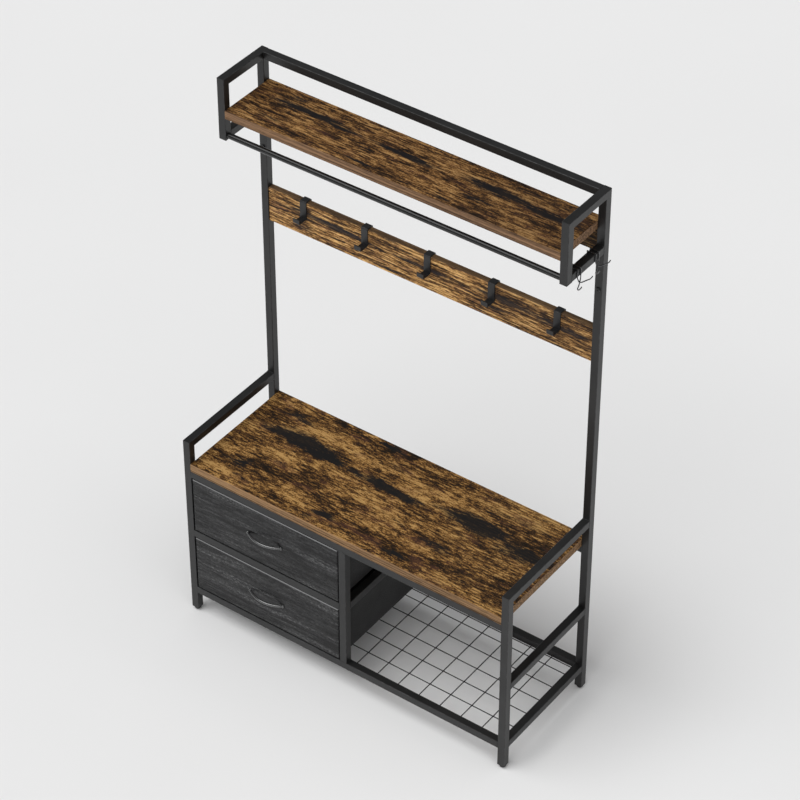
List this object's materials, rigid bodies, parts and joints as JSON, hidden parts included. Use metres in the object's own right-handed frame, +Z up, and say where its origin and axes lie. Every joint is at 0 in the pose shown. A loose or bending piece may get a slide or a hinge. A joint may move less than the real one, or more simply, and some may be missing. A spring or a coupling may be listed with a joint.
{
  "type": "hall tree with hooks",
  "caption": "Hall tree: steel-tube frame, wooden bench over drawers and an open mesh shelf, coat-hook board, hanging rod and top shelf.",
  "frame": {"origin": "centre of the bounding box at its bottom, on the floor", "axes": "+Z up; the front with the drawers faces -Y; +X to the right as seen from the front"},
  "size_m": [1.0776, 0.4144, 1.644],
  "materials": {
    "steel_frame": "charcoal powder coat, fine texture, satin",
    "mesh_wire": "black powder coat",
    "hook": "dark powder coat",
    "handle": "dark powder coat",
    "bolt": "black oxide",
    "wire_hook": "bright wire",
    "zinc": "zinc plated",
    "rustic_wood": "rustic brown grain with dark smudges, matt",
    "black_wood": "black wood grain, matt",
    "pin_wood": "plain beech",
    "fabric": "black non-woven fabric, matt",
    "base_board": "fabric covered board",
    "foot_plastic": "black plastic"
  },
  "bodies": {
    "frame": {"left_front_leg": "steel_frame", "right_front_leg": "steel_frame", "left_lower_post": "steel_frame", "right_lower_post": "steel_frame", "left_upper_post": "steel_frame", "right_upper_post": "steel_frame", "left_arm_rail": "steel_frame", "right_arm_rail": "steel_frame", "left_middle_rail": "steel_frame", "right_middle_rail": "steel_frame", "left_bottom_rail": "steel_frame", "right_bottom_rail": "steel_frame", "left_top_rail": "steel_frame", "right_top_rail": "steel_frame", "left_shelf_upright": "steel_frame", "right_shelf_upright": "steel_frame", "left_shelf_rail": "steel_frame", "right_shelf_rail": "steel_frame", "seat_front_rail": "steel_frame", "seat_rear_rail": "steel_frame", "bottom_front_rail": "steel_frame", "bottom_rear_rail": "steel_frame", "centre_front_upright": "steel_frame", "centre_rear_upright": "steel_frame", "drawer_front_rail": "steel_frame", "drawer_rear_rail": "steel_frame", "centre_runner": "steel_frame", "top_rear_rail": "steel_frame", "seat_board": "rustic_wood", "shelf_board": "rustic_wood", "back_board": "rustic_wood", "hook_board": "rustic_wood", "mesh_shelf": "mesh_wire", "hanging_rod": "steel_frame", "leg_inserts": "foot_plastic", "post_connectors": "zinc", "post_bolts": "bolt", "rod_bolts": "bolt", "board_pins": "pin_wood"},
    "upper_drawer": {"upper_drawer_front": "black_wood", "upper_drawer_box": "fabric", "upper_drawer_base": "base_board", "upper_drawer_handle": "handle", "upper_handle_screws": "zinc"},
    "lower_drawer": {"lower_drawer_front": "black_wood", "lower_drawer_box": "fabric", "lower_drawer_base": "base_board", "lower_drawer_handle": "handle", "lower_handle_screws": "zinc"},
    "hook_1": {"hook_1": "hook"},
    "hook_2": {"hook_2": "hook"},
    "hook_3": {"hook_3": "hook"},
    "hook_4": {"hook_4": "hook"},
    "hook_5": {"hook_5": "hook"},
    "wire_hook_front": {"wire_hook_front": "wire_hook"},
    "wire_hook_rear": {"wire_hook_rear": "wire_hook"},
    "front_left_foot": {"front_left_foot": "foot_plastic"},
    "front_right_foot": {"front_right_foot": "foot_plastic"},
    "rear_left_foot": {"rear_left_foot": "foot_plastic"},
    "rear_right_foot": {"rear_right_foot": "foot_plastic"}
  },
  "joints": [
    {"name": "upper_drawer_slide", "type": "slide", "parent": "frame", "child": "upper_drawer", "axis": [0, -1, 0], "range_m": [0, 0.25]},
    {"name": "lower_drawer_slide", "type": "slide", "parent": "frame", "child": "lower_drawer", "axis": [0, -1, 0], "range_m": [0, 0.25]},
    {"name": "hook_1_slide", "type": "slide", "parent": "frame", "child": "hook_1", "axis": [1, 0, 0], "range_m": [-0.085, 0.085]},
    {"name": "hook_2_slide", "type": "slide", "parent": "frame", "child": "hook_2", "axis": [1, 0, 0], "range_m": [-0.085, 0.085]},
    {"name": "hook_3_slide", "type": "slide", "parent": "frame", "child": "hook_3", "axis": [1, 0, 0], "range_m": [-0.085, 0.085]},
    {"name": "hook_4_slide", "type": "slide", "parent": "frame", "child": "hook_4", "axis": [1, 0, 0], "range_m": [-0.085, 0.085]},
    {"name": "hook_5_slide", "type": "slide", "parent": "frame", "child": "hook_5", "axis": [1, 0, 0], "range_m": [-0.085, 0.085]},
    {"name": "wire_hook_front_slide", "type": "slide", "parent": "frame", "child": "wire_hook_front", "axis": [0, 1, 0], "range_m": [-0.017, 0.007]},
    {"name": "wire_hook_rear_slide", "type": "slide", "parent": "frame", "child": "wire_hook_rear", "axis": [0, 1, 0], "range_m": [-0.008, 0.02]},
    {"name": "front_left_foot_turn", "type": "hinge", "parent": "frame", "child": "front_left_foot", "pos_m": [-0.52377, -0.17325, 0], "axis": [0, 0, 1], "continuous": true},
    {"name": "front_right_foot_turn", "type": "hinge", "parent": "frame", "child": "front_right_foot", "pos_m": [0.50423, -0.17325, 0], "axis": [0, 0, 1], "continuous": true},
    {"name": "rear_left_foot_turn", "type": "hinge", "parent": "frame", "child": "rear_left_foot", "pos_m": [-0.52377, 0.19275, 0], "axis": [0, 0, 1], "continuous": true},
    {"name": "rear_right_foot_turn", "type": "hinge", "parent": "frame", "child": "rear_right_foot", "pos_m": [0.50423, 0.19275, 0], "axis": [0, 0, 1], "continuous": true}
  ]
}
